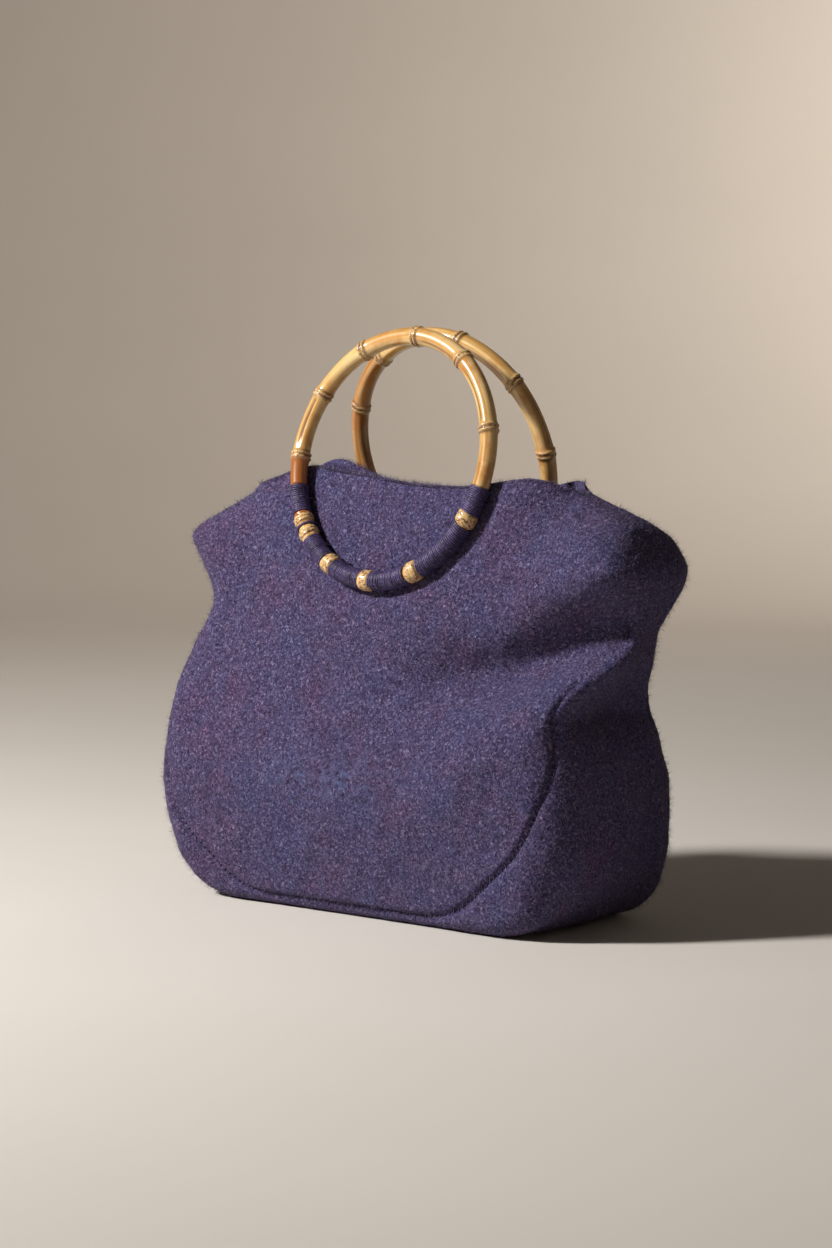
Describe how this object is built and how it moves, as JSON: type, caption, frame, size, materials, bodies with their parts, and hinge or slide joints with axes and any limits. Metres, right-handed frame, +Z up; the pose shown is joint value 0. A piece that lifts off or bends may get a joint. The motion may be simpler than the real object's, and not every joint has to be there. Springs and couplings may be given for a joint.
{
  "type": "knitting bag",
  "caption": "Upright felted wool bag with a waisted body and drooping shoulders, open at the top, carried by cane ring handles bound to its rim with yarn.",
  "frame": {"origin": "middle of the flat base, where the bag stands", "axes": "+X to the bag's right as its front is faced, along its width; -Y out of its front; +Z up"},
  "size_m": [0.3482, 0.1252, 0.3307],
  "materials": {
    "felt": "fuzzy felt",
    "yarn": "matte wool",
    "cane": "varnished",
    "board": "matte",
    "pin": "satin"
  },
  "bodies": {
    "bag": {"gusset": "felt", "base_board": "board", "front_panel": "felt", "back_panel": "felt", "front_seam_yarn": "yarn", "back_seam_yarn": "yarn"},
    "front_handle": {"front_flap": "felt", "front_ring": "cane", "front_ring_pin": "pin", "front_tie_loops": "yarn", "front_wrap_1": "yarn", "front_wrap_2": "yarn", "front_wrap_3": "yarn", "front_wrap_4": "yarn", "front_wrap_5": "yarn", "front_wrap_6": "yarn", "front_wrap_7": "yarn"},
    "back_handle": {"back_flap": "felt", "back_ring": "cane", "back_ring_pin": "pin", "back_tie_loops": "yarn", "back_wrap_1": "yarn", "back_wrap_2": "yarn", "back_wrap_3": "yarn", "back_wrap_4": "yarn", "back_wrap_5": "yarn", "back_wrap_6": "yarn", "back_wrap_7": "yarn"}
  },
  "joints": [
    {"name": "front_handle_tilt", "type": "hinge", "parent": "bag", "child": "front_handle", "pos_m": [0, -0.03651, 0.17387], "axis": [1, 0, 0], "range_deg": [-0.4, 45]},
    {"name": "back_handle_tilt", "type": "hinge", "parent": "bag", "child": "back_handle", "pos_m": [0, 0.03651, 0.17387], "axis": [-1, 0, 0], "range_deg": [-0.4, 45]}
  ]
}
